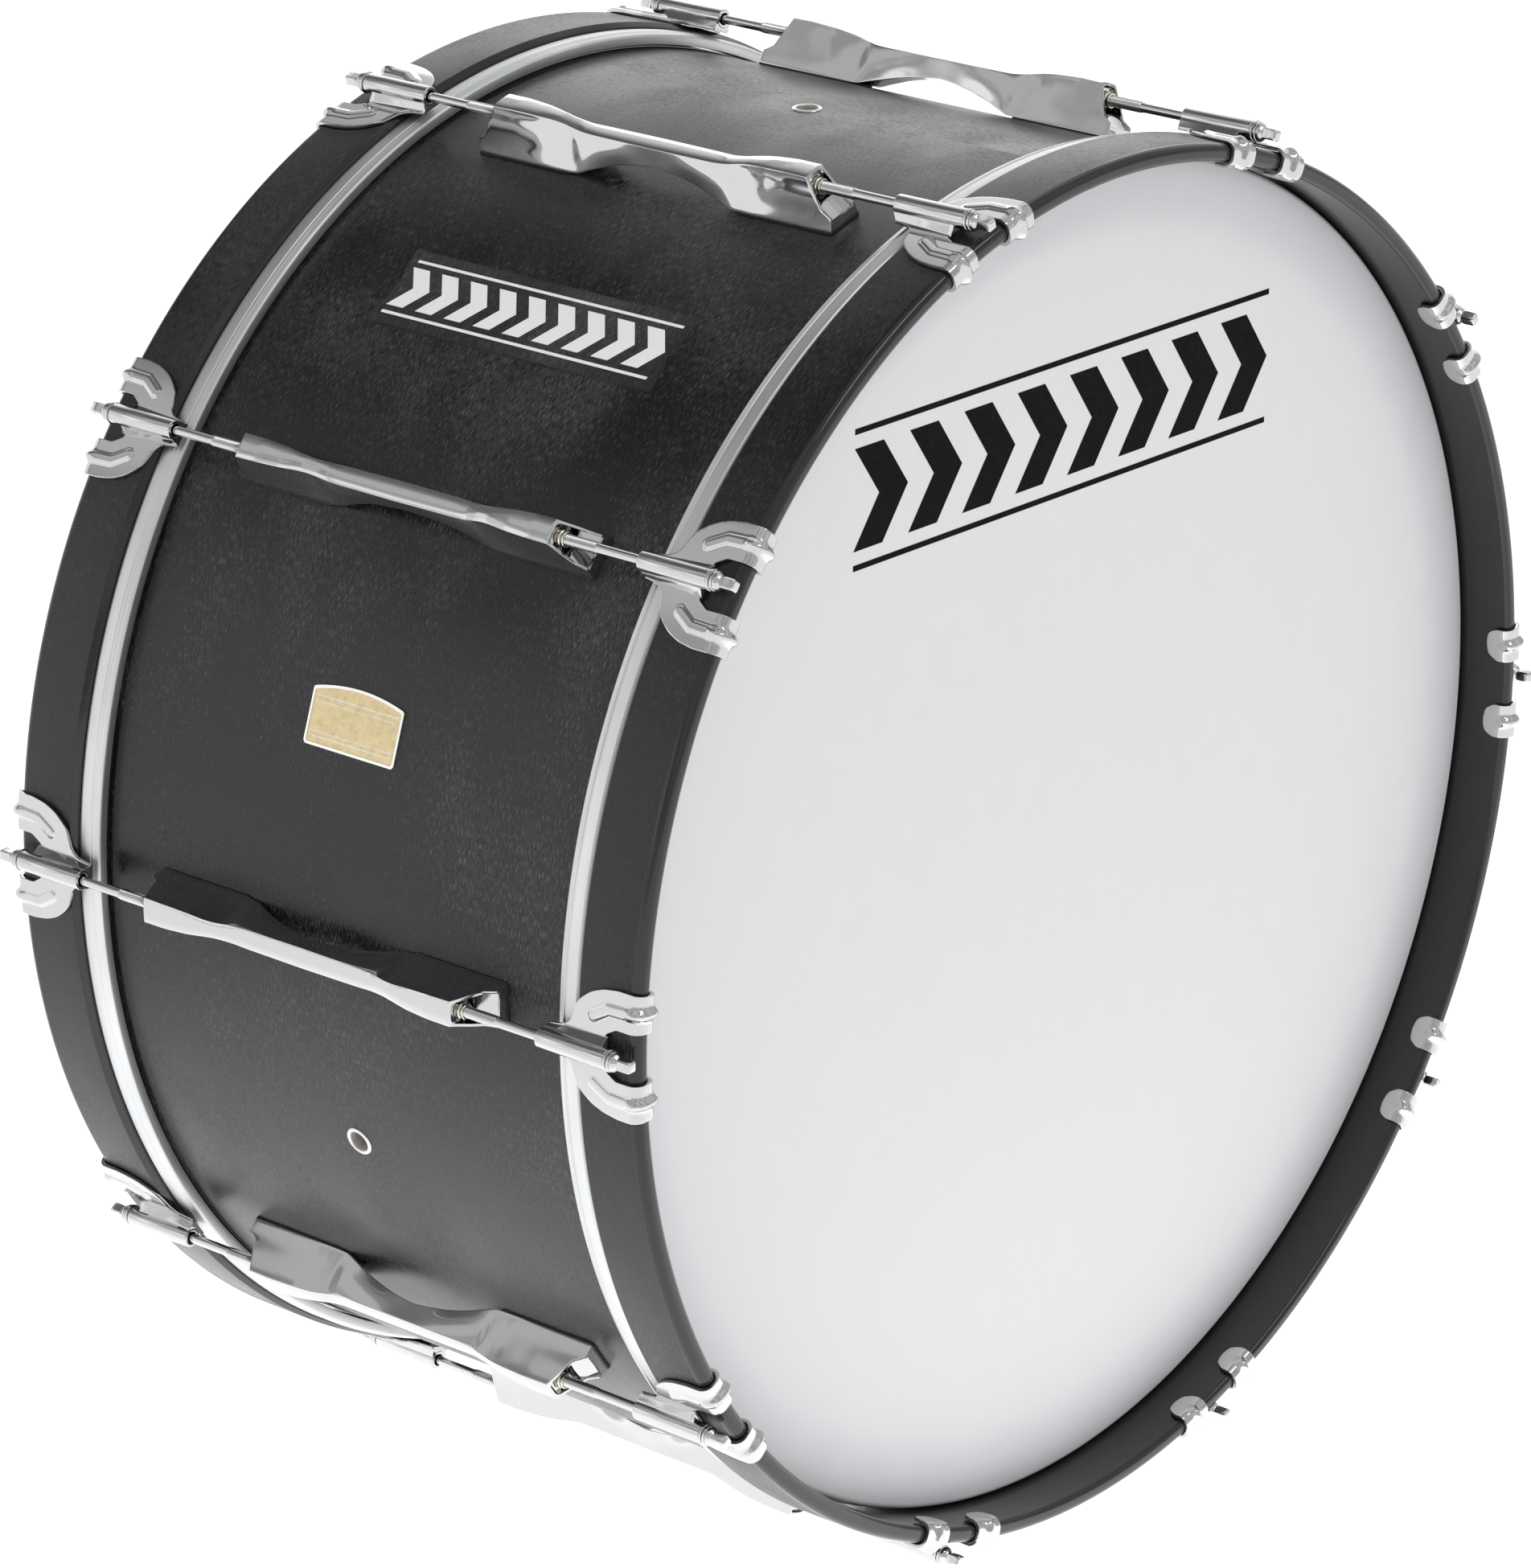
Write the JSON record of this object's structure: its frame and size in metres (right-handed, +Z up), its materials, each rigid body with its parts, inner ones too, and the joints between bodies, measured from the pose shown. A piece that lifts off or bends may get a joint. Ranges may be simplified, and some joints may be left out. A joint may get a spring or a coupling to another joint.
{
  "type": "bass drum",
  "caption": "Marching bass drum: round wooden shell with a tensioned head on each side, wooden counter hoops, claw hooks, threaded tension rods and cast bridge lugs.",
  "frame": {"origin": "on the floor under the middle of the drum, centre of the two hoops' line of rest", "axes": "+Z up, drum axis along Y with the front head facing -Y, +X to the right as seen from the front"},
  "size_m": [0.764, 0.4244, 0.73],
  "materials": {
    "shell_wood": "black stained maple under a satin lacquer, fine grain running round the shell",
    "hoop_wood": "black stained maple, satin on the faces, glossy on the rounded rim",
    "drumhead_film": "smooth white coated film",
    "aluminium": "satin extruded",
    "chrome": "polished",
    "brass": "turned, bright",
    "rubber": "matt",
    "badge_metal": "satin champagne field in a bright rim",
    "decal": "printed film"
  },
  "bodies": {
    "root": {"shell": "shell_wood", "front_head": "drumhead_film", "rear_head": "drumhead_film", "front_flesh_hoop": "aluminium", "rear_flesh_hoop": "aluminium", "lug_01": "chrome", "lug_02": "chrome", "lug_03": "chrome", "lug_04": "chrome", "lug_05": "chrome", "lug_06": "chrome", "lug_07": "chrome", "lug_08": "chrome", "lug_09": "chrome", "lug_10": "chrome", "vent_top": "chrome", "vent_side": "chrome", "badge": "badge_metal"},
    "front_hoop_set": {"front_hoop": "hoop_wood", "front_claw_01": "chrome", "front_claw_02": "chrome", "front_claw_03": "chrome", "front_claw_04": "chrome", "front_claw_05": "chrome", "front_claw_06": "chrome", "front_claw_07": "chrome", "front_claw_08": "chrome", "front_claw_09": "chrome", "front_claw_10": "chrome"},
    "front_rod_01_turning": {"front_rod_01": "chrome"},
    "front_rod_02_turning": {"front_rod_02": "chrome"},
    "front_rod_03_turning": {"front_rod_03": "chrome"},
    "front_rod_04_turning": {"front_rod_04": "chrome"},
    "front_rod_05_turning": {"front_rod_05": "chrome"},
    "front_rod_06_turning": {"front_rod_06": "chrome"},
    "front_rod_07_turning": {"front_rod_07": "chrome"},
    "front_rod_08_turning": {"front_rod_08": "chrome"},
    "front_rod_09_turning": {"front_rod_09": "chrome"},
    "front_rod_10_turning": {"front_rod_10": "chrome"},
    "rear_hoop_set": {"rear_hoop": "hoop_wood", "rear_claw_01": "chrome", "rear_claw_02": "chrome", "rear_claw_03": "chrome", "rear_claw_04": "chrome", "rear_claw_05": "chrome", "rear_claw_06": "chrome", "rear_claw_07": "chrome", "rear_claw_08": "chrome", "rear_claw_09": "chrome", "rear_claw_10": "chrome"},
    "rear_rod_01_turning": {"rear_rod_01": "chrome"},
    "rear_rod_02_turning": {"rear_rod_02": "chrome"},
    "rear_rod_03_turning": {"rear_rod_03": "chrome"},
    "rear_rod_04_turning": {"rear_rod_04": "chrome"},
    "rear_rod_05_turning": {"rear_rod_05": "chrome"},
    "rear_rod_06_turning": {"rear_rod_06": "chrome"},
    "rear_rod_07_turning": {"rear_rod_07": "chrome"},
    "rear_rod_08_turning": {"rear_rod_08": "chrome"},
    "rear_rod_09_turning": {"rear_rod_09": "chrome"},
    "rear_rod_10_turning": {"rear_rod_10": "chrome"}
  },
  "joints": [
    {"name": "front_hoop_slide", "type": "slide", "parent": "root", "child": "front_hoop_set", "axis": [0, -1, 0], "range_m": [0, 0.008]},
    {"name": "front_rod_01_turn", "type": "hinge", "parent": "front_hoop_set", "child": "front_rod_01_turning", "pos_m": [0.11532, -0.2, 0.71993], "axis": [0, -1, 0], "range_deg": [0, 2880]},
    {"name": "front_rod_02_turn", "type": "hinge", "parent": "front_hoop_set", "child": "front_rod_02_turning", "pos_m": [0.30192, -0.2, 0.58436], "axis": [0, -1, 0], "range_deg": [0, 2880]},
    {"name": "front_rod_03_turn", "type": "hinge", "parent": "front_hoop_set", "child": "front_rod_03_turning", "pos_m": [0.3732, -0.2, 0.365], "axis": [0, -1, 0], "range_deg": [0, 2880]},
    {"name": "front_rod_04_turn", "type": "hinge", "parent": "front_hoop_set", "child": "front_rod_04_turning", "pos_m": [0.30192, -0.2, 0.14564], "axis": [0, -1, 0], "range_deg": [0, 2880]},
    {"name": "front_rod_05_turn", "type": "hinge", "parent": "front_hoop_set", "child": "front_rod_05_turning", "pos_m": [0.11532, -0.2, 0.01006], "axis": [0, -1, 0], "range_deg": [0, 2880]},
    {"name": "front_rod_06_turn", "type": "hinge", "parent": "front_hoop_set", "child": "front_rod_06_turning", "pos_m": [-0.11532, -0.2, 0.01006], "axis": [0, -1, 0], "range_deg": [0, 2880]},
    {"name": "front_rod_07_turn", "type": "hinge", "parent": "front_hoop_set", "child": "front_rod_07_turning", "pos_m": [-0.30192, -0.2, 0.14564], "axis": [0, -1, 0], "range_deg": [0, 2880]},
    {"name": "front_rod_08_turn", "type": "hinge", "parent": "front_hoop_set", "child": "front_rod_08_turning", "pos_m": [-0.3732, -0.2, 0.365], "axis": [0, -1, 0], "range_deg": [0, 2880]},
    {"name": "front_rod_09_turn", "type": "hinge", "parent": "front_hoop_set", "child": "front_rod_09_turning", "pos_m": [-0.30192, -0.2, 0.58436], "axis": [0, -1, 0], "range_deg": [0, 2880]},
    {"name": "front_rod_10_turn", "type": "hinge", "parent": "front_hoop_set", "child": "front_rod_10_turning", "pos_m": [-0.11532, -0.2, 0.71993], "axis": [0, -1, 0], "range_deg": [0, 2880]},
    {"name": "rear_hoop_slide", "type": "slide", "parent": "root", "child": "rear_hoop_set", "axis": [0, 1, 0], "range_m": [0, 0.008]},
    {"name": "rear_rod_01_turn", "type": "hinge", "parent": "rear_hoop_set", "child": "rear_rod_01_turning", "pos_m": [0.11532, 0.2, 0.71993], "axis": [0, 1, 0], "range_deg": [0, 2880]},
    {"name": "rear_rod_02_turn", "type": "hinge", "parent": "rear_hoop_set", "child": "rear_rod_02_turning", "pos_m": [0.30192, 0.2, 0.58436], "axis": [0, 1, 0], "range_deg": [0, 2880]},
    {"name": "rear_rod_03_turn", "type": "hinge", "parent": "rear_hoop_set", "child": "rear_rod_03_turning", "pos_m": [0.3732, 0.2, 0.365], "axis": [0, 1, 0], "range_deg": [0, 2880]},
    {"name": "rear_rod_04_turn", "type": "hinge", "parent": "rear_hoop_set", "child": "rear_rod_04_turning", "pos_m": [0.30192, 0.2, 0.14564], "axis": [0, 1, 0], "range_deg": [0, 2880]},
    {"name": "rear_rod_05_turn", "type": "hinge", "parent": "rear_hoop_set", "child": "rear_rod_05_turning", "pos_m": [0.11532, 0.2, 0.01006], "axis": [0, 1, 0], "range_deg": [0, 2880]},
    {"name": "rear_rod_06_turn", "type": "hinge", "parent": "rear_hoop_set", "child": "rear_rod_06_turning", "pos_m": [-0.11532, 0.2, 0.01006], "axis": [0, 1, 0], "range_deg": [0, 2880]},
    {"name": "rear_rod_07_turn", "type": "hinge", "parent": "rear_hoop_set", "child": "rear_rod_07_turning", "pos_m": [-0.30192, 0.2, 0.14564], "axis": [0, 1, 0], "range_deg": [0, 2880]},
    {"name": "rear_rod_08_turn", "type": "hinge", "parent": "rear_hoop_set", "child": "rear_rod_08_turning", "pos_m": [-0.3732, 0.2, 0.365], "axis": [0, 1, 0], "range_deg": [0, 2880]},
    {"name": "rear_rod_09_turn", "type": "hinge", "parent": "rear_hoop_set", "child": "rear_rod_09_turning", "pos_m": [-0.30192, 0.2, 0.58436], "axis": [0, 1, 0], "range_deg": [0, 2880]},
    {"name": "rear_rod_10_turn", "type": "hinge", "parent": "rear_hoop_set", "child": "rear_rod_10_turning", "pos_m": [-0.11532, 0.2, 0.71993], "axis": [0, 1, 0], "range_deg": [0, 2880]}
  ],
  "couplings": [
    {"joint": "front_rod_01_turn", "follows": "front_hoop_slide", "rad_per_m": 6283.2},
    {"joint": "front_rod_02_turn", "follows": "front_hoop_slide", "rad_per_m": 6283.2},
    {"joint": "front_rod_03_turn", "follows": "front_hoop_slide", "rad_per_m": 6283.2},
    {"joint": "front_rod_04_turn", "follows": "front_hoop_slide", "rad_per_m": 6283.2},
    {"joint": "front_rod_05_turn", "follows": "front_hoop_slide", "rad_per_m": 6283.2},
    {"joint": "front_rod_06_turn", "follows": "front_hoop_slide", "rad_per_m": 6283.2},
    {"joint": "front_rod_07_turn", "follows": "front_hoop_slide", "rad_per_m": 6283.2},
    {"joint": "front_rod_08_turn", "follows": "front_hoop_slide", "rad_per_m": 6283.2},
    {"joint": "front_rod_09_turn", "follows": "front_hoop_slide", "rad_per_m": 6283.2},
    {"joint": "front_rod_10_turn", "follows": "front_hoop_slide", "rad_per_m": 6283.2},
    {"joint": "rear_rod_01_turn", "follows": "rear_hoop_slide", "rad_per_m": 6283.2},
    {"joint": "rear_rod_02_turn", "follows": "rear_hoop_slide", "rad_per_m": 6283.2},
    {"joint": "rear_rod_03_turn", "follows": "rear_hoop_slide", "rad_per_m": 6283.2},
    {"joint": "rear_rod_04_turn", "follows": "rear_hoop_slide", "rad_per_m": 6283.2},
    {"joint": "rear_rod_05_turn", "follows": "rear_hoop_slide", "rad_per_m": 6283.2},
    {"joint": "rear_rod_06_turn", "follows": "rear_hoop_slide", "rad_per_m": 6283.2},
    {"joint": "rear_rod_07_turn", "follows": "rear_hoop_slide", "rad_per_m": 6283.2},
    {"joint": "rear_rod_08_turn", "follows": "rear_hoop_slide", "rad_per_m": 6283.2},
    {"joint": "rear_rod_09_turn", "follows": "rear_hoop_slide", "rad_per_m": 6283.2},
    {"joint": "rear_rod_10_turn", "follows": "rear_hoop_slide", "rad_per_m": 6283.2}
  ]
}
